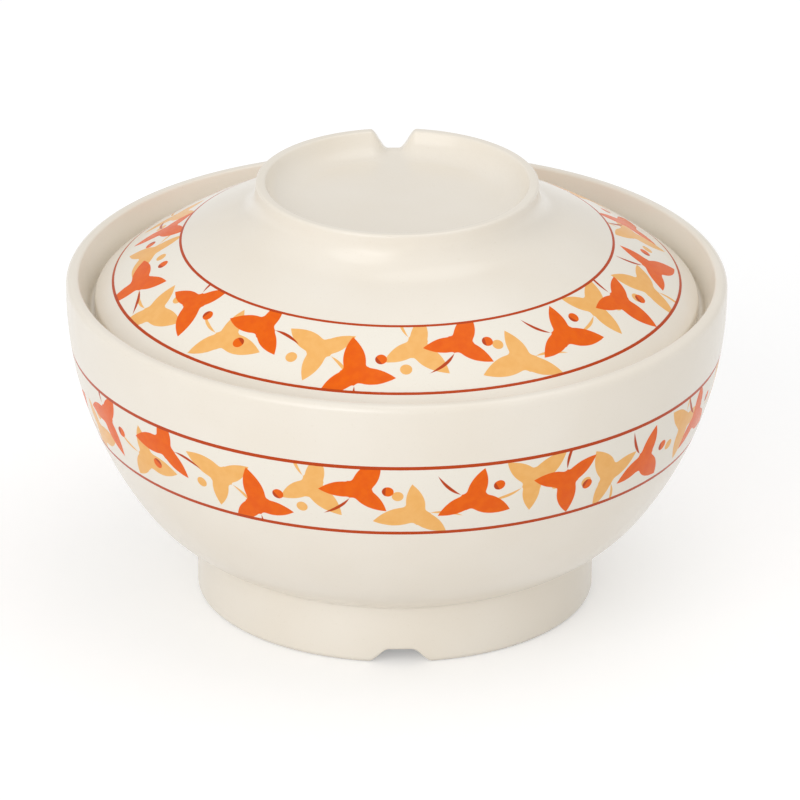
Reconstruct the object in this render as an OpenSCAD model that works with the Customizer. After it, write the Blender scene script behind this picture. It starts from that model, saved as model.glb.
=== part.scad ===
// Donburi bowl with a drop-in lid, both compression-moulded in cream melamine resin.
// A printed foil is laid flush into the outside of each moulding.
// The bowl stands on the origin and its axis is Z. The drain notch of the foot faces -Y, the lid's faces +Y.

/* [Bowl] */
// Outer diameter of the bowl at its widest, just under the rim
mouth_d = 155; // [145:1:168]
// Height from the table to the top of the rim
bowl_h = 78.8; // [74:0.1:92]
// Height of the upright lip above the widest point
lip_h = 2.6; // [2.2:0.1:6]
// Thickness of the rim at its top
rim_t = 2.8; // [2.7:0.1:4]
// Rounding of the rim's outer edge
rim_round = 1.7; // [0.8:0.1:1.9]
// Rounding of the rim's inner edge
rim_inner_round = 0.7; // [0.4:0.1:0.9]
// Wall thickness of the body and the floor
wall_t = 3.2; // [2.6:0.1:4]
// Radius of the tight curve that carries the body in over the foot
base_r = 37.2; // [33:0.1:41]
// Where the wide belly curve hands over to the tight curve, as a share of the wall's whole turn
turn_share = 0.688; // [0.62:0.001:0.76]
// Radius that blends the upright bore under the lid's ledge into the hollow
bore_blend_r = 30; // [20:1:36]

/* [Lid seat] */
// Depth of the ledge below the top of the rim
seat_depth = 8; // [7.4:0.1:10]
// How far the wall above the ledge leans in on its way down
seat_lean = 2.7; // [2:0.1:3.4]
// Width of the ledge that carries the lid
ledge_w = 3.4; // [2.8:0.1:4.2]
// Gap all round between the lid's edge and the wall at the ledge
lid_play = 1.2; // [0.5:0.1:1.5]

/* [Foot] */
// Outer diameter of the foot ring
foot_d = 93.4; // [86:0.1:98]
// Height of the foot ring outside, from the table to the crease under the body
foot_h = 14.3; // [12:0.1:16]
// Thickness of the foot ring where it stands
foot_t = 5; // [4:0.1:7]
// How much thicker the foot ring is where it leaves the floor
foot_lean = 1.5; // [0.5:0.1:2.5]
// Rounding of the foot ring's outer bottom edge
foot_round = 1.4; // [0.6:0.1:1.8]
// Width of the drain notch at the table
foot_notch_w = 14; // [9:0.5:18]
// Height of the drain notch
foot_notch_h = 3.3; // [2:0.1:5]

/* [Lid] */
// Height of the lid's upright edge
lid_edge_h = 3.2; // [2.4:0.1:4]
// Radius of the lid's dome
dome_r = 110; // [100:1:122]
// Wall thickness of the lid
lid_t = 3; // [2.5:0.1:3.6]
// Width of the flat rim under the lid that stands on the ledge
lid_rim_w = 4; // [3:0.1:5]
// Rounding of the lid's outer top edge
lid_round = 1.2; // [0.5:0.1:1.6]

/* [Knob ring] */
// Outer diameter of the knob ring
knob_d = 66.3; // [58:0.1:72]
// Height of the knob ring above the dome, at its outer wall
ring_h = 7.9; // [6.6:0.1:9]
// Thickness of the knob ring at its top
ring_t = 2.2; // [1.9:0.1:3]
// How much thicker the knob ring is at the floor of its dish
ring_lean = 2.2; // [1.4:0.1:3]
// Depth of the dish inside the knob ring
dish_depth = 5.4; // [4.6:0.1:7]
// Radius that blends the knob ring into the dome
knob_blend = 8; // [3:0.5:9]
// Width of the drain notch at the top of the knob ring
knob_notch_w = 10.4; // [7:0.2:12]
// Depth of the drain notch in the knob ring
knob_notch_h = 5.2; // [3:0.1:5.3]

/* [Printed foils] */
// Thickness of the foils
foil_t = 0.3; // [0.2:0.05:0.5]
// Distance of the bowl's foil below the top of the rim
bowl_foil_drop = 15.3; // [12:0.1:20]
// Height of the bowl's foil
bowl_foil_w = 19.3; // [12:0.1:24]
// Distance of the lid's foil from the lid's edge
lid_foil_inset = 4; // [3:0.1:6]
// Width of the lid's foil, measured level
lid_foil_w = 16.4; // [10:0.1:20]

/* [Hidden] */

cream = "#efe7da";
print_orange = "#f0a868";

// Sides of a turned shape, and the largest gap between an arc and its chords
turn_sides = 180;
curve_gap = 0.015;
// How far a cut runs past the surface that it opens
cut_over = 1;

// Small roundings
ledge_round = 0.8;
ledge_edge_round = 0.4;
foot_inner_round = 1;
recess_round = 3;
crease_round = 1;
lid_foot_round = 0.5;
skirt_round = 1.5;
ring_round = 0.7;
dish_round = 6.2;
foot_notch_round = 2;
knob_notch_round = 0.8;
// Widths of the notches at their closed ends
foot_notch_end_w = 5;
knob_notch_end_w = 3.4;

mouth_r = mouth_d / 2;
foot_r = foot_d / 2;
knob_r = knob_d / 2;

// The body is two arcs that meet in a common tangent: a wide belly, level with the widest point, and a tight
// base curve. The belly's radius is the one that brings the base curve to the top of the foot ring.
widest_z = bowl_h - lip_h;
turn_angle = turn_share * 2 * atan2(mouth_r - foot_r, widest_z - foot_h);
toe = [foot_r - mouth_r + base_r, foot_h - widest_z];
bend = 1 - cos(turn_angle);
lead = toe.x * bend + toe.y * sin(turn_angle);
spare = toe * toe - base_r * base_r;
belly_extra = (-lead - sqrt(lead * lead - 2 * bend * spare)) / (2 * bend);
belly_r = base_r + belly_extra;
belly_c = [mouth_r - belly_r, widest_z];
base_c = belly_c + belly_extra * [cos(turn_angle), -sin(turn_angle)];
turn_z = base_c.y - base_r * sin(turn_angle);
foot_angle = acos((foot_r - base_c.x) / base_r);
under_z = base_c.y - base_r;
floor_z = under_z + wall_t;

// The lid's seat, and the bore under it
seat_z = bowl_h - seat_depth;
seat_r = mouth_r - rim_t - seat_lean;
bore_r = seat_r - ledge_w;
bore_blend_c_r = bore_r - bore_blend_r;
bore_blend_reach = belly_r - wall_t - bore_blend_r;
bore_blend_z = widest_z - sqrt(pow(bore_blend_reach, 2) - pow(bore_blend_c_r - belly_c.x, 2));
bore_blend_angle = atan2(widest_z - bore_blend_z, bore_blend_c_r - belly_c.x);

// The lid, which stands on the ledge
lid_r = seat_r - lid_play;
skirt_r = lid_r - lid_rim_w;
under_dome_r = dome_r - lid_t;
dome_z = seat_z + lid_edge_h - sqrt(dome_r * dome_r - lid_r * lid_r);
dome_c = [0, dome_z];
lid_top = dome_z + sqrt(dome_r * dome_r - knob_r * knob_r) + ring_h;
dish_z = lid_top - dish_depth;
ceiling_z = dish_z - lid_t;
knob_blend_c = [knob_r + knob_blend, dome_z + sqrt(pow(dome_r + knob_blend, 2) - pow(knob_r + knob_blend, 2))];
knob_angle = atan2(knob_blend_c.y - dome_z, knob_blend_c.x);
lid_foil_r = lid_r - lid_foil_inset;

// Angle of one chord on an arc, small enough to keep the gap
function chord_angle(radius) = 2 * acos(1 - curve_gap / radius);
function chords(radius, sweep) = ceil(abs(sweep) / chord_angle(radius));

// Points of an arc, both ends included
function arc(centre, radius, from, to) =
    let (n = chords(radius, to - from))
    [for (i = [0:n]) let (a = from + (to - from) * i / n) centre + radius * [cos(a), sin(a)]];

// A point of the body's outside where its surface faces down by an angle, moved in by an inset
function body(angle, inset) =
    let (wide = angle < turn_angle)
    (wide ? belly_c : base_c) + ((wide ? belly_r : base_r) - inset) * [cos(angle), -sin(angle)];
function body_run(from, to, inset) =
    let (n = chords(belly_r, to - from))
    [for (i = [0:n]) body(from + (to - from) * i / n, inset)];
function body_angle(z) = z > turn_z ? asin((widest_z - z) / belly_r) : asin((base_c.y - z) / base_r);

// An outline is a list of points. A point with a third number is a corner rounded to that radius.
function flat(p) = [p[0], p[1]];
function unit(v) = v / norm(v);
function corner(before, at, after, radius) =
    let (
        back = unit(before - at),
        ahead = unit(after - at),
        half = acos(back * ahead) / 2,
        centre = at + unit(back + ahead) * radius / sin(half),
        start = at + back * radius / tan(half) - centre,
        from = atan2(start.y, start.x),
        sweep = -sign(cross(back, ahead)) * (180 - 2 * half)
    )
    arc(centre, radius, from, from + sweep);
function rounded(outline) =
    let (n = len(outline))
    [
        for (i = [0:n - 1])
        let (at = outline[i])
        each is_undef(at[2])
            ? [at]
            : corner(flat(outline[(i + n - 1) % n]), flat(at), flat(outline[(i + 1) % n]), at[2])
    ];

// Half section of the bowl: floor, hollow, bore, ledge, rim, body, foot and the recess under the floor
body_step = chord_angle(belly_r);
bowl_outline = concat(
    [[0, floor_z]],
    body_run(90, bore_blend_angle + body_step, wall_t),
    arc([bore_blend_c_r, bore_blend_z], bore_blend_r, -bore_blend_angle, 0),
    [
        [bore_r, seat_z, ledge_edge_round],
        [seat_r, seat_z, ledge_round],
        [mouth_r - rim_t, bowl_h, rim_inner_round],
        [mouth_r, bowl_h, rim_round]
    ],
    body_run(0, foot_angle - body_step, 0),
    [
        [foot_r, foot_h, crease_round],
        [foot_r, 0, foot_round],
        [foot_r - foot_t, 0, foot_inner_round],
        [foot_r - foot_t - foot_lean, under_z, recess_round],
        [0, under_z]
    ]
);

// Half section of the lid: ceiling, underside of the dome, rim, edge, dome, knob ring and dish
dome_step = chord_angle(dome_r);
lid_outline = concat(
    [[0, ceiling_z]],
    arc(dome_c, under_dome_r, asin((ceiling_z - dome_z) / under_dome_r), acos(skirt_r / under_dome_r) + dome_step),
    [
        [skirt_r, dome_z + sqrt(pow(under_dome_r, 2) - pow(skirt_r, 2)), skirt_round],
        [skirt_r, seat_z, lid_foot_round],
        [lid_r, seat_z, lid_foot_round],
        [lid_r, seat_z + lid_edge_h, lid_round]
    ],
    arc(dome_c, dome_r, acos(lid_r / dome_r) + dome_step, knob_angle - dome_step),
    arc(knob_blend_c, knob_blend, 180 + knob_angle, 180),
    [
        [knob_r, lid_top, ring_round],
        [knob_r - ring_t, lid_top, ring_round],
        [knob_r - ring_t - ring_lean, dish_z, dish_round],
        [0, dish_z]
    ]
);

// Section of a foil, from its outer face at one inset to its inner face at another
foil_top_angle = body_angle(bowl_h - bowl_foil_drop);
foil_low_angle = body_angle(bowl_h - bowl_foil_drop - bowl_foil_w);
function bowl_foil_section(outer) =
    concat(
        body_run(foil_top_angle, foil_low_angle, outer),
        body_run(foil_low_angle, foil_top_angle, foil_t)
    );
foil_rim_angle = acos(lid_foil_r / dome_r);
foil_knob_angle = acos((lid_foil_r - lid_foil_w) / dome_r);
function lid_foil_section(outer) =
    concat(
        arc(dome_c, dome_r - outer, foil_rim_angle, foil_knob_angle),
        arc(dome_c, dome_r - foil_t, foil_knob_angle, foil_rim_angle)
    );

// A notch that opens at y = 0 and narrows to its rounded end
module notch_outline(open_w, end_w, depth, round_r) {
    slope = (open_w - end_w) / 2 / depth;
    half_w = open_w / 2 + slope * cut_over;
    polygon(rounded([
        [-half_w, -cut_over],
        [-end_w / 2, depth, round_r],
        [end_w / 2, depth, round_r],
        [half_w, -cut_over]
    ]));
}

// Drain notch through the front of the foot ring
module foot_notch() {
    inside_r = foot_r - foot_t - foot_lean - cut_over;
    translate([0, -inside_r, 0])
    rotate([90, 0, 0])
    linear_extrude(foot_r + cut_over - inside_r)
    notch_outline(foot_notch_w, foot_notch_end_w, foot_notch_h, foot_notch_round);
}

// Drain notch through the back of the knob ring
module knob_notch() {
    inside_r = knob_r - ring_t - ring_lean - dish_round;
    outside_r = knob_r + knob_blend;
    translate([0, outside_r, lid_top])
    mirror([0, 0, 1])
    rotate([90, 0, 0])
    linear_extrude(outside_r - inside_r)
    notch_outline(knob_notch_w, knob_notch_end_w, knob_notch_h, knob_notch_round);
}

// The bowl with its foot ring, in one moulding
module bowl() {
    color(cream)
    difference() {
        rotate_extrude($fn = turn_sides)
        difference() {
            polygon(rounded(bowl_outline));
            polygon(bowl_foil_section(-cut_over));
        }
        foot_notch();
    }
}

// The printed foil round the bowl, flush with the body
module bowl_foil() {
    color(print_orange)
    rotate_extrude($fn = turn_sides)
    polygon(bowl_foil_section(0));
}

// The lid with its knob ring, in one moulding
module lid() {
    color(cream)
    difference() {
        rotate_extrude($fn = turn_sides)
        difference() {
            polygon(rounded(lid_outline));
            polygon(lid_foil_section(-cut_over));
        }
        knob_notch();
    }
}

// The printed foil round the lid, flush with the dome
module lid_foil() {
    color(print_orange)
    rotate_extrude($fn = turn_sides)
    polygon(lid_foil_section(0));
}

bowl();
bowl_foil();
lid();
lid_foil();
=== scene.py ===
# Donburi bowl with a drop-in lid: two turned cream mouldings, each with a printed band of leaves.
import math

import bpy
import numpy as np
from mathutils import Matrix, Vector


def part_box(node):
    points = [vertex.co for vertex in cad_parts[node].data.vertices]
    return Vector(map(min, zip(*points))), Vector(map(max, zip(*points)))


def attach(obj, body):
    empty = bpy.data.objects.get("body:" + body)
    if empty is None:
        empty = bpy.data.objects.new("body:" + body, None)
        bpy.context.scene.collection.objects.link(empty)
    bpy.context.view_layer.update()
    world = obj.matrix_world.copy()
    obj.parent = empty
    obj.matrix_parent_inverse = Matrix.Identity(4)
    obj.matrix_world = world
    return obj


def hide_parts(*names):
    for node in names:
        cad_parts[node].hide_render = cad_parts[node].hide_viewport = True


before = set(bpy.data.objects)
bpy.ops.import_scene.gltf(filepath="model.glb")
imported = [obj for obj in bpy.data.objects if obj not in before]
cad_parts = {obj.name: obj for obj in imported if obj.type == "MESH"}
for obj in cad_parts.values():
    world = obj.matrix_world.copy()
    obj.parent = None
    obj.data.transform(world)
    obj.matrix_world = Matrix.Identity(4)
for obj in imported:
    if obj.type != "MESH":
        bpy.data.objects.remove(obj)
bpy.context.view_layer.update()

MM = 0.001

# Places that the frame gives, in metres
MOUTH_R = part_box("bowl")[1].x
BOWL_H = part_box("bowl")[1].z
SEAT_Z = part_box("lid")[0].z
LID_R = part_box("lid")[1].x
LID_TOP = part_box("lid")[1].z
BOWL_PRINT_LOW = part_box("bowl_foil")[0].z
BOWL_PRINT_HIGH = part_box("bowl_foil")[1].z
LID_PRINT_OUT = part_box("lid_foil")[1].x

# Bowl
LIP_H = 2.6 * MM
RIM_T = 2.8 * MM
RIM_ROUND = 1.7 * MM
RIM_INNER_ROUND = 0.7 * MM
WALL_T = 3.2 * MM
BASE_R = 37.2 * MM
TURN_SHARE = 0.688
BORE_BLEND_R = 30 * MM
SEAT_LEAN = 2.7 * MM
LEDGE_W = 3.4 * MM
LEDGE_ROUND = 0.8 * MM
LEDGE_EDGE_ROUND = 0.4 * MM
FOOT_R = 46.7 * MM
FOOT_H = 14.3 * MM
FOOT_T = 5 * MM
FOOT_LEAN = 1.5 * MM
FOOT_ROUND = 1.4 * MM
FOOT_INNER_ROUND = 1 * MM
RECESS_ROUND = 3 * MM
CREASE_ROUND = 1 * MM

# Lid
LID_EDGE_H = 3.2 * MM
DOME_R = 110 * MM
LID_T = 3 * MM
LID_RIM_W = 4 * MM
LID_ROUND = 1.2 * MM
LID_FOOT_ROUND = 0.5 * MM
SKIRT_ROUND = 1.5 * MM
KNOB_R = 33.15 * MM
RING_T = 2.2 * MM
RING_LEAN = 2.2 * MM
RING_ROUND = 0.7 * MM
DISH_DEPTH = 5.4 * MM
DISH_ROUND = 6.2 * MM
KNOB_BLEND = 8 * MM
LID_PRINT_W = 16.4 * MM

# Printed foils, laid flush into the mouldings
FOIL_T = 0.3 * MM

# How finely outlines and turned surfaces are divided, welded and creased
LONGEST_STEP = 1.6 * MM
ARC_STEP = math.radians(11)
TURN_COLUMNS = 360
PRINT_COLUMNS = 240
WELD = 0.001 * MM
SHARP = math.radians(38)

# Angles that an arc leaves to the rounded corner at its end
CREASE_ROOM = ARC_STEP / 3
EDGE_ROOM = math.radians(1)


class Wire:
    """One socket of a node tree. Arithmetic on it adds Math nodes, and node() brings any other node."""

    def __init__(self, tree, socket=None):
        self.tree = tree
        self.socket = socket

    def node(self, kind, sockets=None, out=0, **settings):
        """A new node with its settings, and values or wires on its sockets. Gives one output's wire."""
        made = self.tree.nodes.new(kind)
        for name, value in settings.items():
            setattr(made, name, value)
        for name, value in (sockets or {}).items():
            if isinstance(value, Wire):
                self.tree.links.new(value.socket, made.inputs[name])
            else:
                made.inputs[name].default_value = value
        return Wire(self.tree, made.outputs[out]) if len(made.outputs) else None

    def beside(self, out):
        """Another output of the node that this wire comes from."""
        return Wire(self.tree, self.socket.node.outputs[out])

    def maths(self, operation, *others):
        return self.node("ShaderNodeMath", dict(enumerate((self, *others))), operation=operation)

    def __add__(self, other):
        return self.maths("ADD", other)

    def __sub__(self, other):
        return self.maths("SUBTRACT", other)

    def __rsub__(self, other):
        return self.node("ShaderNodeMath", {0: other, 1: self}, operation="SUBTRACT")

    def __mul__(self, other):
        return self.maths("MULTIPLY", other)

    def __truediv__(self, other):
        return self.maths("DIVIDE", other)

    def __mod__(self, other):
        return self.maths("FLOORED_MODULO", other)

    def __abs__(self):
        return self.maths("ABSOLUTE")

    __radd__ = __add__
    __rmul__ = __mul__

    def larger(self, other):
        return self.maths("MAXIMUM", other)

    def smaller(self, other):
        return self.maths("MINIMUM", other)

    def smooth(self, low, high):
        """0 up to low, 1 from high on, and an even curve between."""
        sockets = {"Value": self, "From Min": low, "From Max": high}
        return self.node("ShaderNodeMapRange", sockets, interpolation_type="SMOOTHSTEP")

    def parts(self):
        """The three numbers of a vector."""
        split = self.node("ShaderNodeSeparateXYZ", {0: self})
        return split, split.beside(1), split.beside(2)

    def scaled(self, factor):
        sockets = {0: self, "Scale": factor}
        return self.node("ShaderNodeVectorMath", sockets, operation="SCALE")

    def blend(self, under, over):
        """The colour under, covered by the colour over where this wire is 1."""
        sockets = {0: self, 6: under, 7: over}
        return self.node("ShaderNodeMix", sockets, out=2, data_type="RGBA")


# Outlines

def at(centre, radius, angle):
    return (centre[0] + radius * math.cos(angle), centre[1] + radius * math.sin(angle))


def arc(centre, radius, start, end):
    """Points of an arc, both ends included. Angles are in radians."""
    sweep = abs(end - start)
    steps = max(2, math.ceil(sweep / ARC_STEP), math.ceil(radius * sweep / LONGEST_STEP))
    return [at(centre, radius, start + (end - start) * i / steps) for i in range(steps + 1)]


def rounded_corner(before, corner, after):
    """The arc that rounds a corner to its own third number."""
    x, z, radius = corner
    back = math.atan2(before[1] - z, before[0] - x)
    ahead = math.atan2(after[1] - z, after[0] - x)
    opening = (ahead - back + math.pi) % (2 * math.pi) - math.pi
    middle = back + opening / 2
    centre = at((x, z), radius / math.sin(abs(opening) / 2), middle)
    sweep = math.copysign(math.pi - abs(opening), -opening)
    start = middle + math.pi - sweep / 2
    return arc(centre, radius, start, start + sweep)


def finished(outline):
    """The outline with its corners rounded and its long straight runs divided."""
    corners = []
    for i, corner in enumerate(outline):
        if len(corner) == 3:
            corners += rounded_corner(outline[i - 1], corner, outline[(i + 1) % len(outline)])
        else:
            corners.append(corner)
    points = [corners[0]]
    for start, end in zip(corners, corners[1:]):
        steps = max(1, math.ceil(math.dist(start, end) / LONGEST_STEP))
        for i in range(1, steps + 1):
            points.append(tuple(a + (b - a) * i / steps for a, b in zip(start, end)))
    return points


# The body of the bowl: a wide belly curve, upright at the widest point, and a tight base curve that
# meets it in a common tangent and ends at the top of the foot ring

WIDEST_Z = BOWL_H - LIP_H


def body_curves():
    """Centre and radius of the belly curve and of the base curve, and the angle at which they meet."""
    turn = TURN_SHARE * 2 * math.atan2(MOUTH_R - FOOT_R, WIDEST_Z - FOOT_H)
    toe = (FOOT_R - MOUTH_R + BASE_R, FOOT_H - WIDEST_Z)
    bend = 1 - math.cos(turn)
    lead = toe[0] * bend + toe[1] * math.sin(turn)
    spare = math.hypot(*toe) ** 2 - BASE_R ** 2
    extra = (-lead - math.sqrt(lead ** 2 - 2 * bend * spare)) / (2 * bend)
    belly_c = (MOUTH_R - BASE_R - extra, WIDEST_Z)
    base_c = at(belly_c, extra, -turn)
    return belly_c, BASE_R + extra, base_c, turn


BELLY_C, BELLY_R, BASE_C, TURN = body_curves()


def belly_angle(z):
    return math.asin((z - WIDEST_Z) / BELLY_R)


BOWL_PRINT_START = belly_angle(BOWL_PRINT_LOW)
BOWL_PRINT_END = belly_angle(BOWL_PRINT_HIGH)


def bowl_outline():
    """Half section of the bowl: recess, foot, up the outside, over the rim and down the inside."""
    under_z = BASE_C[1] - BASE_R
    seat_r = MOUTH_R - RIM_T - SEAT_LEAN
    bore_r = seat_r - LEDGE_W
    inner_r = BELLY_R - WALL_T
    blend_r = bore_r - BORE_BLEND_R
    drop = math.sqrt((inner_r - BORE_BLEND_R) ** 2 - (blend_r - BELLY_C[0]) ** 2)
    blend_angle = math.atan2(drop, blend_r - BELLY_C[0])
    foot_angle = math.acos((FOOT_R - BASE_C[0]) / BASE_R)
    foot = [
        (0, under_z),
        (FOOT_R - FOOT_T - FOOT_LEAN, under_z, RECESS_ROUND),
        (FOOT_R - FOOT_T, 0, FOOT_INNER_ROUND),
        (FOOT_R, 0, FOOT_ROUND),
        (FOOT_R, FOOT_H, CREASE_ROUND),
    ]
    outside = [
        *arc(BASE_C, BASE_R, -foot_angle + CREASE_ROOM, -TURN),
        *arc(BELLY_C, BELLY_R, -TURN, BOWL_PRINT_START)[1:],
        *arc(BELLY_C, BELLY_R - FOIL_T, BOWL_PRINT_START, BOWL_PRINT_END),
        *arc(BELLY_C, BELLY_R, BOWL_PRINT_END, 0),
    ]
    rim = [
        (MOUTH_R, BOWL_H, RIM_ROUND),
        (MOUTH_R - RIM_T, BOWL_H, RIM_INNER_ROUND),
    ]
    inside = [
        (seat_r, SEAT_Z, LEDGE_ROUND),
        (bore_r, SEAT_Z, LEDGE_EDGE_ROUND),
        *arc((blend_r, WIDEST_Z - drop), BORE_BLEND_R, 0, -blend_angle),
        *arc(BELLY_C, inner_r, -blend_angle, -TURN)[1:],
        *arc(BASE_C, BASE_R - WALL_T, -TURN, -math.pi / 2)[1:],
        (0, under_z + WALL_T),
    ]
    return finished(foot + outside + rim + inside)


# The lid: a shallow dome that starts at its edge, with a dish inside the ring knob

DOME_Z = SEAT_Z + LID_EDGE_H - math.sqrt(DOME_R ** 2 - LID_R ** 2)
DOME_C = (0, DOME_Z)
DISH_Z = LID_TOP - DISH_DEPTH


def dome_angle(radius):
    return math.acos(radius / DOME_R)


LID_PRINT_START = dome_angle(LID_PRINT_OUT)
LID_PRINT_END = dome_angle(LID_PRINT_OUT - LID_PRINT_W)


def lid_outline():
    """Half section of the lid: down the underside, round the rim, over the dome and the knob."""
    under_r = DOME_R - LID_T
    skirt_r = LID_R - LID_RIM_W
    ceiling_z = DISH_Z - LID_T
    skirt_angle = math.acos(skirt_r / under_r)
    ceiling_angle = math.asin((ceiling_z - DOME_Z) / under_r)
    knob_angle = math.acos((KNOB_R + KNOB_BLEND) / (DOME_R + KNOB_BLEND))
    blend_c = at(DOME_C, DOME_R + KNOB_BLEND, knob_angle)
    edge_angle = dome_angle(LID_R)
    underside = [
        (0, ceiling_z),
        *arc(DOME_C, under_r, ceiling_angle, skirt_angle + EDGE_ROOM),
        (*at(DOME_C, under_r, skirt_angle), SKIRT_ROUND),
    ]
    rim = [
        (skirt_r, SEAT_Z, LID_FOOT_ROUND),
        (LID_R, SEAT_Z, LID_FOOT_ROUND),
        (LID_R, SEAT_Z + LID_EDGE_H, LID_ROUND),
    ]
    dome = [
        *arc(DOME_C, DOME_R, edge_angle + EDGE_ROOM, LID_PRINT_START),
        *arc(DOME_C, DOME_R - FOIL_T, LID_PRINT_START, LID_PRINT_END),
        *arc(DOME_C, DOME_R, LID_PRINT_END, knob_angle),
    ]
    knob = [
        *arc(blend_c, KNOB_BLEND, math.pi + knob_angle, math.pi)[1:],
        (KNOB_R, LID_TOP, RING_ROUND),
        (KNOB_R - RING_T, LID_TOP, RING_ROUND),
        (KNOB_R - RING_T - RING_LEAN, DISH_Z, DISH_ROUND),
        (0, DISH_Z),
    ]
    return finished(underside + rim + dome + knob)


def foil_outline(centre, radius, start, end):
    """Closed section of a printed foil that lies flush with a curve."""
    outer = arc(centre, radius, start, end)
    inner = arc(centre, radius - FOIL_T, end, start)
    return [*outer, *inner, outer[0]]


# Turning

TURNED_INPUTS = (
    ("Columns", "NodeSocketInt"),
    ("Crowding", "NodeSocketFloat"),
    ("Notch Side", "NodeSocketFloat"),
    ("Notch Mouth", "NodeSocketFloat"),
    ("Notch End", "NodeSocketFloat"),
    ("Notch Lift", "NodeSocketFloat"),
    ("Notch Edge", "NodeSocketFloat"),
    ("Notch Fade", "NodeSocketFloat"),
    ("Notch Inside", "NodeSocketFloat"),
    ("Notch Outside", "NodeSocketFloat"),
    ("Material", "NodeSocketMaterial"),
)


def turning_tree():
    """Turns an outline round Z. A drain notch moves one edge of a ring, which keeps its rounding."""
    tree = bpy.data.node_groups.new("turned_moulding", "GeometryNodeTree")
    tree.interface.new_socket("Geometry", in_out="INPUT", socket_type="NodeSocketGeometry")
    for name, kind in TURNED_INPUTS:
        tree.interface.new_socket(name, in_out="INPUT", socket_type=kind)
    tree.interface.new_socket("Geometry", in_out="OUTPUT", socket_type="NodeSocketGeometry")
    outline = Wire(tree).node("NodeGroupInput")
    size = outline.beside
    rows = outline.node("GeometryNodeAttributeDomainSize", {0: outline}, component="MESH")
    columns = size("Columns")
    sheet = outline.node("GeometryNodeMeshGrid", {"Vertices X": columns + 1, "Vertices Y": rows})

    index = outline.node("GeometryNodeInputIndex")
    column = (index / rows).maths("FLOOR")
    row = index - column * rows
    place = outline.node("GeometryNodeInputPosition")
    sockets = {"Geometry": outline, "Value": place, "Index": row}
    point = outline.node("GeometryNodeSampleIndex", sockets, data_type="FLOAT_VECTOR")
    radius, _, height = point.parts()

    even = column / columns * (2 * math.pi)
    turn = even - size("Crowding") * even.maths("SINE")
    azimuth = turn + size("Notch Side")
    across = abs(turn.maths("SINE") * radius)
    ahead = turn.maths("COSINE").maths("GREATER_THAN", 0)
    open_here = 1 - across.smooth(size("Notch End"), size("Notch Mouth"))
    past_inside = radius.maths("GREATER_THAN", size("Notch Inside"))
    ring = past_inside * radius.maths("LESS_THAN", size("Notch Outside"))
    near_edge = 1 - (abs(height - size("Notch Edge")) / size("Notch Fade")).smaller(1)
    lifted = height + size("Notch Lift") * open_here * near_edge * ring * ahead

    sockets = {"X": radius * azimuth.maths("COSINE"), "Y": radius * azimuth.maths("SINE"), "Z": lifted}
    sockets = {"Geometry": sheet, "Position": outline.node("ShaderNodeCombineXYZ", sockets)}
    turned = outline.node("GeometryNodeSetPosition", sockets)
    welded = outline.node("GeometryNodeMergeByDistance", {"Geometry": turned, "Distance": WELD})
    smooth = outline.node("GeometryNodeSetShadeSmooth", {"Geometry": welded, "Shade Smooth": True})
    sharp = outline.node("GeometryNodeInputMeshEdgeAngle").maths("GREATER_THAN", SHARP)
    sockets = {"Geometry": smooth, "Selection": sharp, "Shade Smooth": False}
    creased = outline.node("GeometryNodeSetShadeSmooth", sockets, domain="EDGE")
    real = outline.node("GeometryNodeRealizeInstances", {"Geometry": creased})
    done = outline.node("GeometryNodeSetMaterial", {"Geometry": real, "Material": size("Material")})
    outline.node("NodeGroupOutput", {"Geometry": done})
    return tree


TURNING = turning_tree()
NO_NOTCH = {
    "Notch Side": 0.0,
    "Notch Mouth": 2 * MM,
    "Notch End": 1 * MM,
    "Notch Lift": 0.0,
    "Notch Edge": 0.0,
    "Notch Fade": 1 * MM,
    "Notch Inside": 0.0,
    "Notch Outside": 0.0,
}


def turned(name, outline, material, columns, crowding=0.0, notch=NO_NOTCH):
    """A plain mesh object, turned from an outline of radii and heights."""
    mesh = bpy.data.meshes.new(name + "_outline")
    mesh.from_pydata([(r, 0, z) for r, z in outline], [(i, i + 1) for i in range(len(outline) - 1)], [])
    source = bpy.data.objects.new(name + "_outline", mesh)
    bpy.context.scene.collection.objects.link(source)
    modifier = source.modifiers.new("turned", "NODES")
    modifier.node_group = TURNING
    values = {"Columns": columns, "Crowding": crowding, "Material": material, **notch}
    for socket in TURNING.interface.items_tree:
        if socket.name in values:
            modifier[socket.identifier] = values[socket.name]
    bpy.context.view_layer.update()
    made = bpy.data.meshes.new_from_object(source.evaluated_get(bpy.context.evaluated_depsgraph_get()))
    bpy.data.objects.remove(source)
    made.name = name
    piece = bpy.data.objects.new(name, made)
    bpy.context.scene.collection.objects.link(piece)
    return piece


# Finishes

def colour(red, green, blue):
    """A colour written as in a paint program, from 0 to 255, as the shader takes it."""
    straight = [c / 255 for c in (red, green, blue)]
    return (*[c / 12.92 if c <= 0.04045 else ((c + 0.055) / 1.055) ** 2.4 for c in straight], 1)


CREAM = colour(241, 234, 222)
CREAM_DEEP = colour(236, 227, 212)
FLECK = colour(222, 210, 190)
SCUFF = colour(205, 197, 182)
PRINT_GROUND = colour(241, 235, 223)
PRINT_SPECK = colour(238, 231, 218)
ORANGE = colour(238, 104, 8)
ORANGE_DEEP = colour(233, 95, 8)
APRICOT = colour(245, 187, 112)
APRICOT_DEEP = colour(242, 181, 103)
RUST = colour(188, 68, 18)

GLOSS_IOR = 1.56
MELAMINE_GLOSS = 0.5
PRINT_GLOSS = 0.12
ROUGHNESS = 0.22

# The waviness of a polished mould, in waves for each millimetre and in millimetres of depth
PEEL_WIDE_PER_MM = 0.22
PEEL_WIDE_SHARE = 0.7
PEEL_FINE_PER_MM = 1.4
PEEL_FINE_SHARE = 0.3
MELAMINE_PEEL = 0.010
PRINT_PEEL = 0.004

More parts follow.
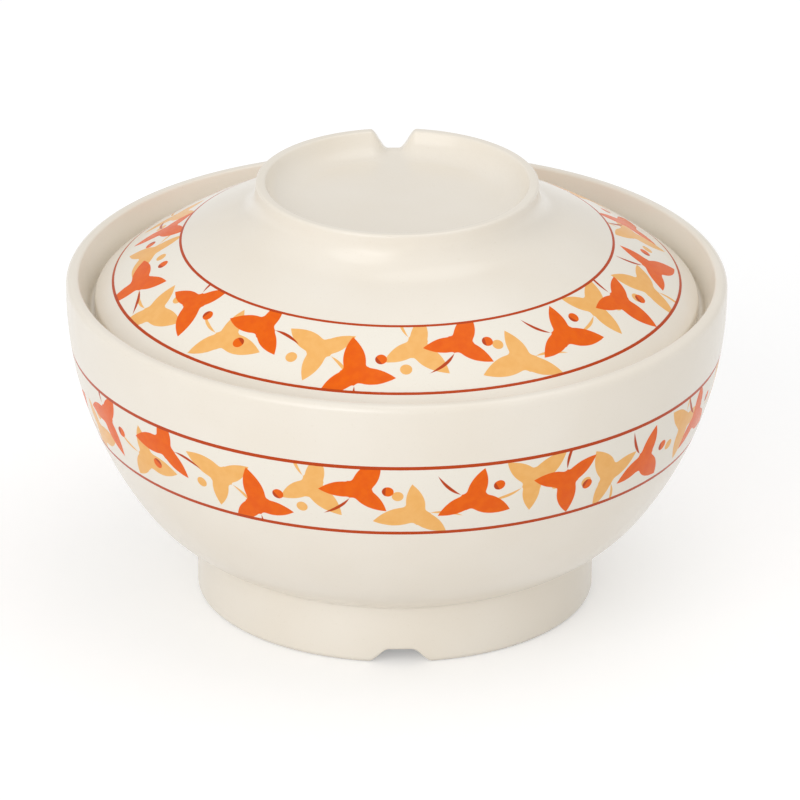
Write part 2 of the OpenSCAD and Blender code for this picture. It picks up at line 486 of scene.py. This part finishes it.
# Clouds, flecks and scuffs in the melamine: how fine, from which noise on, and how strong
CLOUDS_PER_MM = 0.04
CLOUD_CONTRAST = 1.6
CLOUD_ROUGHNESS = 0.05
FLECKS_PER_MM = 1.9
FLECK_FROM = 0.62
FLECK_FULL = 0.85
FLECK_STRENGTH = 0.35
SCUFFS_PER_MM = 0.6
SCUFF_FROM = 0.42
SCUFF_FULL = 0.68
SCUFF_STRENGTH = 0.08
SCUFF_ROUGHNESS = 0.08

# Scuffs fade out between these heights above the table
SCUFF_LOW_MM = 0.2
SCUFF_HIGH_MM = 1.3


def finish_material(name, gloss):
    """A new material, its shader, and the place on the piece in millimetres."""
    material = bpy.data.materials.new(name)
    material.use_nodes = True
    tree = material.node_tree
    shader = tree.nodes["Principled BSDF"]
    shader.inputs["IOR"].default_value = GLOSS_IOR
    shader.inputs["Specular IOR Level"].default_value = gloss
    place = Wire(tree).node("ShaderNodeTexCoord", out="Object").scaled(1 / MM)
    return material, shader, place


def noise(place, per_mm, detail=2.0):
    sockets = {"Vector": place, "Scale": per_mm, "Detail": detail}
    return place.node("ShaderNodeTexNoise", sockets)


def feed(wire, shader, socket):
    wire.tree.links.new(wire.socket, shader.inputs[socket])


def orange_peel(place, shader, depth_mm):
    """The faint waviness that a polished mould leaves."""
    wide = noise(place, PEEL_WIDE_PER_MM, detail=1.0)
    fine = noise(place, PEEL_FINE_PER_MM, detail=1.0)
    waves = wide * PEEL_WIDE_SHARE + fine * PEEL_FINE_SHARE
    sockets = {"Height": waves, "Strength": 1.0, "Distance": depth_mm * MM}
    feed(place.node("ShaderNodeBump", sockets), shader, "Normal")


def melamine():
    """Cream melamine: cloudy filler, fine flecks, soft gloss, and scuffs where the foot stands."""
    material, shader, place = finish_material("cream_melamine", MELAMINE_GLOSS)
    clouds = (noise(place, CLOUDS_PER_MM) - 0.5) * CLOUD_CONTRAST + 0.5
    flecks = noise(place, FLECKS_PER_MM).smooth(FLECK_FROM, FLECK_FULL)
    standing = 1 - place.parts()[2].smooth(SCUFF_LOW_MM, SCUFF_HIGH_MM)
    scuffs = standing * noise(place, SCUFFS_PER_MM, detail=4.0).smooth(SCUFF_FROM, SCUFF_FULL)
    cream = clouds.blend(CREAM, CREAM_DEEP)
    flecked = (flecks * FLECK_STRENGTH).blend(cream, FLECK)
    feed((scuffs * SCUFF_STRENGTH).blend(flecked, SCUFF), shader, "Base Color")
    feed(ROUGHNESS + clouds * CLOUD_ROUGHNESS + scuffs * SCUFF_ROUGHNESS, shader, "Roughness")
    orange_peel(place, shader, MELAMINE_PEEL)
    return material


# Print: lengths are in millimetres

LEAF_COUNT_BOWL = 19
LEAF_COUNT_LID = 15
LEAF_TIP = 10.4
LEAF_HALF_W = 2.6
WING_TIP = 9.0
WING_HALF_W = 2.2
WING_ANGLE = math.radians(113)
WING_SWING = math.radians(40)
LOBE_HEEL = 2.8
LOBE_BEND = 0.008
LOBE_WEB = 1.8
STALK_START = 3.2
STALK_END = 10.8
STALK_HALF_W = 0.42
STALK_BEND = 0.04
BERRY_R = 1.35
BERRY_CAP = 0.5
BERRY_REACH = 7.0
BERRY_ANGLE = math.radians(58)
BERRY_MARGIN = 2.9
MOTIF_SWAY = 3.2
MOTIF_RISE = 10.0
BOWL_LINE_W = 0.95
LID_LINE_W = 0.7
LINE_WAVER = 0.1
INK_EDGE = 0.07

# The two rows of motifs: how far each is moved along, in stretches, and where its chances start
BEHIND_SHIFT = 0.58
BEHIND_SEED = 11.5
BEFORE_SHIFT = 0.16
BEFORE_SEED = 3.5

# Unevenness of the print: how fine, and from which noise on
WAVER_PER_MM = 0.9
INK_PER_MM = 0.5
INK_FROM = 0.3
INK_FULL = 0.7
INK_ROUGHNESS = 0.04
SPECKS_PER_MM = 2.6
SPECK_FROM = 0.6
SPECK_FULL = 0.75


def spun(x, y, angle):
    """A place as seen from axes that are turned by an angle."""
    cosine = angle.maths("COSINE")
    sine = angle.maths("SINE")
    return x * cosine + y * sine, y * cosine - x * sine


def lens(x, y, start, end, half_w):
    """How far inside a pointed oval a place is: it lies along x from start to end."""
    along = (x - (start + end) / 2) / ((end - start) / 2)
    return half_w * (1 - along * along) - abs(y)


def lobe(place, tip, half_w):
    """How far inside a bent lobe of a leaf a place is: it points along x from the leaf's middle."""
    x, y = place
    return lens(x, y - LOBE_BEND * x * x, -LOBE_HEEL, tip, half_w)


def leaf(motif):
    """How far inside a three-pointed leaf a place is. Chance swings its two wings."""
    swing = (motif.wings - 0.5) * WING_SWING
    left = lobe(spun(*motif.own, swing + WING_ANGLE), WING_TIP, WING_HALF_W)
    right = lobe(spun(*motif.own, swing - WING_ANGLE), WING_TIP, WING_HALF_W)
    wings = left.maths("SMOOTH_MAX", right, LOBE_WEB)
    return lobe(motif.own, LEAF_TIP, LEAF_HALF_W).maths("SMOOTH_MAX", wings, LOBE_WEB)


def stalk(motif):
    """How far inside a leaf's bent stalk a place is."""
    x, y = motif.own
    beyond = x + STALK_START
    return lens(x, y - STALK_BEND * beyond * beyond, -STALK_END, -STALK_START, STALK_HALF_W)


def berry(motif, width):
    """How far inside a leaf's berry, and inside its cap, a place is. It hangs where there is room."""
    left = motif.across + BERRY_REACH * (motif.spin + BERRY_ANGLE).maths("SINE")
    right = motif.across + BERRY_REACH * (motif.spin - BERRY_ANGLE).maths("SINE")
    side = abs(left).maths("LESS_THAN", abs(right)) * 2 - 1
    angle = motif.spin + BERRY_ANGLE * side
    limit = width / 2 - BERRY_MARGIN
    rise = (motif.across + BERRY_REACH * angle.maths("SINE")).smaller(limit).larger(-limit)
    x, y = spun(motif.x - BERRY_REACH * angle.maths("COSINE"), motif.y + motif.across - rise, angle)
    whole = BERRY_R - (x * x + y * y).maths("SQRT")
    return whole, whole.smaller(-BERRY_CAP - x)


def inked(inside):
    return inside.smooth(-INK_EDGE, INK_EDGE)


class Motif:
    """One motif in each stretch of the band, moved and turned by chance, and a place measured from it."""

    def __init__(self, turn, up, count, pitch, shift, seed):
        stretch = turn * count + shift
        number = stretch.maths("FLOOR")
        sockets = {"W": number % count + seed}
        chance = turn.node("ShaderNodeTexWhiteNoise", sockets, out="Color", noise_dimensions="1D")
        along, across, spin = chance.parts()
        self.across = (across - 0.5) * MOTIF_RISE
        self.spin = spin * (2 * math.pi)
        self.wings = chance.beside("Value")
        self.x = (stretch - number - 0.5) * pitch + (along - 0.5) * MOTIF_SWAY
        self.y = up - self.across
        self.own = spun(self.x, self.y, self.spin)


def leaf_print(name, count, radius, width, line_w, height_of):
    """A printed foil: orange leaves over apricot ones, berries and stalks between two rust lines."""
    material, shader, place = finish_material(name, PRINT_GLOSS)
    x, y, z = place.parts()
    turn = y.maths("ARCTAN2", x) / (2 * math.pi) + 0.5
    up = height_of(x, y, z) + (noise(place, WAVER_PER_MM) - 0.5) * LINE_WAVER
    pitch = 2 * math.pi * radius / count
    behind = Motif(turn, up, count, pitch, BEHIND_SHIFT, BEHIND_SEED)
    before = Motif(turn, up, count, pitch, BEFORE_SHIFT, BEFORE_SEED)
    density = noise(place, INK_PER_MM, detail=3.0).smooth(INK_FROM, INK_FULL)
    specks = noise(place, SPECKS_PER_MM, detail=1.0).smooth(SPECK_FROM, SPECK_FULL)
    apricot = density.blend(APRICOT, APRICOT_DEEP)
    orange = density.blend(ORANGE, ORANGE_DEEP)
    pale_berry, _ = berry(behind, width)
    ripe_berry, cap = berry(before, width)

    paint = specks.blend(PRINT_GROUND, PRINT_SPECK)
    paint = inked(pale_berry).blend(paint, apricot)
    paint = inked(stalk(behind)).blend(paint, apricot)
    paint = inked(leaf(behind)).blend(paint, apricot)
    paint = inked(ripe_berry).blend(paint, orange)
    paint = inked(cap).blend(paint, RUST)
    paint = inked(stalk(before)).blend(paint, RUST)
    paint = inked(leaf(before)).blend(paint, orange)
    paint = inked(abs(up) - (width / 2 - line_w)).blend(paint, RUST)
    feed(paint, shader, "Base Color")
    feed(ROUGHNESS + density * INK_ROUGHNESS, shader, "Roughness")
    orange_peel(place, shader, PRINT_PEEL)
    return material


def bowl_print_height(x, y, z):
    """Height on the bowl's foil from its middle, along the slope, in millimetres."""
    sweep = BOWL_PRINT_END - BOWL_PRINT_START
    slope = BELLY_R * sweep / (BOWL_PRINT_HIGH - BOWL_PRINT_LOW)
    return (z - (BOWL_PRINT_HIGH + BOWL_PRINT_LOW) / 2 / MM) * slope


def lid_print_height(x, y, z):
    """Height on the lid's foil from its middle, along the slope, in millimetres."""
    slope = DOME_R * (LID_PRINT_END - LID_PRINT_START) / LID_PRINT_W
    return ((LID_PRINT_OUT - LID_PRINT_W / 2) / MM - (x * x + y * y).maths("SQRT")) * slope


# Pieces

FOOT_NOTCH = {
    "Notch Side": -math.pi / 2,
    "Notch Mouth": 7.5 * MM,
    "Notch End": 2.6 * MM,
    "Notch Lift": 3.3 * MM,
    "Notch Edge": 0.0,
    "Notch Fade": 9 * MM,
    "Notch Inside": 38 * MM,
    "Notch Outside": FOOT_R + 1 * MM,
}
KNOB_NOTCH = {
    "Notch Side": math.pi / 2,
    "Notch Mouth": 5.5 * MM,
    "Notch End": 1.2 * MM,
    "Notch Lift": -5.2 * MM,
    "Notch Edge": LID_TOP,
    "Notch Fade": 5.4 * MM,
    "Notch Inside": 24 * MM,
    "Notch Outside": KNOB_R + 1 * MM,
}
NOTCH_CROWDING = 0.78

# The map for the bake: its rows, the reach of a row, and the shares of the foil's edges and back
BOWL_BAKE_ROWS = 5
LID_BAKE_ROWS = 4
BAKE_LOW = -0.05
BAKE_HIGH = 1.2
BAKE_EDGE = 0.04
BAKE_BACK = 0.1


def unroll(foil, centre, radius, start, end, rows):
    """A map for baking: the ring cut into rows, one above the other, its back squeezed in."""
    mesh = foil.data
    places = np.empty(len(mesh.vertices) * 3)
    mesh.vertices.foreach_get("co", places)
    x, y, z = places.reshape(-1, 3).T
    corners = np.empty(len(mesh.loops), dtype=np.int32)
    mesh.loops.foreach_get("vertex_index", corners)
    corners = corners.reshape(-1, 4)
    turn = (np.arctan2(y, x) / (2 * math.pi) % 1)[corners]
    turn = np.where((np.ptp(turn, axis=1, keepdims=True) > 0.5) & (turn < 0.5), turn + 1, turn)
    row = np.floor(turn.mean(axis=1, keepdims=True) * rows)
    out = np.hypot(x, y) - centre[0]
    up = z - centre[1]
    across = ((np.arctan2(up, out) - start) / (end - start))[corners]
    behind = (np.hypot(out, up) < radius - FOIL_T / 2)[corners]
    lower_edge = behind.any(axis=1, keepdims=True) & ~behind.all(axis=1, keepdims=True) & (across < 0.5)
    back = np.where(lower_edge, -BAKE_EDGE, 1 + BAKE_EDGE + (1 - across) * BAKE_BACK)
    height = (np.where(behind, back, across) - BAKE_LOW) / (BAKE_HIGH - BAKE_LOW)
    flat = np.stack([turn * rows - row, (row + height) / rows], axis=-1)
    mesh.uv_layers.new(name="OFBake").data.foreach_set("uv", flat.astype(np.float32).ravel())


def ride(piece, body, node):
    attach(piece, body)
    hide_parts(node)


def make_bowl(cream):
    bowl = turned("bowl_moulding", bowl_outline(), cream, TURN_COLUMNS, NOTCH_CROWDING, FOOT_NOTCH)
    ride(bowl, "bowl", "bowl")
    band = (BELLY_C, BELLY_R, BOWL_PRINT_START, BOWL_PRINT_END)
    width = BELLY_R * (BOWL_PRINT_END - BOWL_PRINT_START) / MM
    middle_r = (BELLY_C[0] + BELLY_R * math.cos((BOWL_PRINT_END + BOWL_PRINT_START) / 2)) / MM
    paint = leaf_print("bowl_leaf_print", LEAF_COUNT_BOWL, middle_r, width, BOWL_LINE_W, bowl_print_height)
    foil = turned("bowl_print", foil_outline(*band), paint, PRINT_COLUMNS)
    unroll(foil, *band, BOWL_BAKE_ROWS)
    ride(foil, "bowl", "bowl_foil")


def make_lid(cream):
    lid = turned("lid_moulding", lid_outline(), cream, TURN_COLUMNS, NOTCH_CROWDING, KNOB_NOTCH)
    ride(lid, "lid", "lid")
    band = (DOME_C, DOME_R, LID_PRINT_START, LID_PRINT_END)
    width = DOME_R * (LID_PRINT_END - LID_PRINT_START) / MM
    middle_r = (LID_PRINT_OUT - LID_PRINT_W / 2) / MM
    paint = leaf_print("lid_leaf_print", LEAF_COUNT_LID, middle_r, width, LID_LINE_W, lid_print_height)
    foil = turned("lid_print", foil_outline(*band), paint, PRINT_COLUMNS)
    unroll(foil, *band, LID_BAKE_ROWS)
    ride(foil, "lid", "lid_foil")


# Stage, light and camera

CAMERA_DISTANCE = 2.5
CAMERA_ELEVATION = math.radians(23.65)
CAMERA_ROLL = math.radians(0.37)
CAMERA_TURN = math.radians(-1.75)
TARGET_Z = 46.74 * MM
PIXELS_PER_MM = 4.245
PICTURE_SIDE = 800
AXIS_COLUMN = 396.0
SENSOR_W = 36.0


def make_camera():
    data = bpy.data.cameras.new("camera")
    data.sensor_width = SENSOR_W
    data.lens = PIXELS_PER_MM / MM * CAMERA_DISTANCE / PICTURE_SIDE * SENSOR_W
    data.shift_x = (PICTURE_SIDE / 2 - AXIS_COLUMN) / PICTURE_SIDE
    camera = bpy.data.objects.new("camera", data)
    bpy.context.scene.collection.objects.link(camera)
    back = CAMERA_DISTANCE * math.cos(CAMERA_ELEVATION)
    up = CAMERA_DISTANCE * math.sin(CAMERA_ELEVATION)
    camera.location = (back * math.sin(CAMERA_TURN), -back * math.cos(CAMERA_TURN), TARGET_Z + up)
    camera.rotation_euler = (math.pi / 2 - CAMERA_ELEVATION, 0, CAMERA_TURN)
    camera.rotation_euler.rotate_axis("Z", CAMERA_ROLL)
    bpy.context.scene.camera = camera


FLOOR_SIDE = 8.0
FLOOR_WHITE = 0.81
FLOOR_ROUGHNESS = 0.9
FLOOR_GLOW = 0.3
WHITE = (1, 1, 1, 1)
BLACK = (0, 0, 0, 1)
SKY = (0.72, 0.72, 0.72, 1)
KEY_POWER = 13.5
KEY_SIDE = 1.9
KEY_PLACE = (-1.1, -1.8, 1.0)
TOP_POWER = 4.9
TOP_SIDE = 1.6
TOP_PLACE = (0.5, -0.1, 1.9)
FILL_POWER = 5.2
FILL_SIDE = 1.2
FILL_PLACE = (-0.6, -2.1, 0.25)


def seen_directly(tree):
    """1 for rays that show a background: those of the camera, and those that gloss or glass passes on."""
    ray = Wire(tree).node("ShaderNodeLightPath", out="Is Camera Ray")
    return ray.larger(ray.beside("Is Glossy Ray")).larger(ray.beside("Is Transmission Ray"))


def make_floor():
    """A white floor that shows the object's shadow and reads as a white background."""
    half = FLOOR_SIDE / 2
    mesh = bpy.data.meshes.new("floor")
    corners = [(-half, -half, 0), (half, -half, 0), (half, half, 0), (-half, half, 0)]
    mesh.from_pydata(corners, [], [(0, 1, 2, 3)])
    floor = bpy.data.objects.new("floor", mesh)
    bpy.context.scene.collection.objects.link(floor)
    material = bpy.data.materials.new("floor_white")
    material.use_nodes = True
    shader = material.node_tree.nodes["Principled BSDF"]
    shader.inputs["Base Color"].default_value = (FLOOR_WHITE, FLOOR_WHITE, FLOOR_WHITE, 1)
    shader.inputs["Roughness"].default_value = FLOOR_ROUGHNESS
    shader.inputs["Specular IOR Level"].default_value = 0.0
    shader.inputs["Emission Strength"].default_value = FLOOR_GLOW
    feed(seen_directly(material.node_tree).blend(BLACK, WHITE), shader, "Emission Color")
    mesh.materials.append(material)


def make_lamp(name, place, side, power):
    data = bpy.data.lights.new(name, "AREA")
    data.shape = "DISK"
    data.size = side
    data.energy = power
    lamp = bpy.data.objects.new(name, data)
    bpy.context.scene.collection.objects.link(lamp)
    lamp.location = place
    aim = -lamp.location
    aim.z += TARGET_Z
    lamp.rotation_euler = aim.to_track_quat("-Z", "Y").to_euler()


def make_light():
    world = bpy.data.worlds.new("studio")
    bpy.context.scene.world = world
    world.use_nodes = True
    sky = world.node_tree.nodes["Background"]
    sky.inputs["Color"].default_value = SKY
    make_lamp("key", KEY_PLACE, KEY_SIDE, KEY_POWER)
    make_lamp("top", TOP_PLACE, TOP_SIDE, TOP_POWER)
    make_lamp("fill", FILL_PLACE, FILL_SIDE, FILL_POWER)
    bpy.context.scene.view_settings.view_transform = "Standard"


make_camera()
make_floor()
make_light()
cream_melamine = melamine()
make_bowl(cream_melamine)
make_lid(cream_melamine)
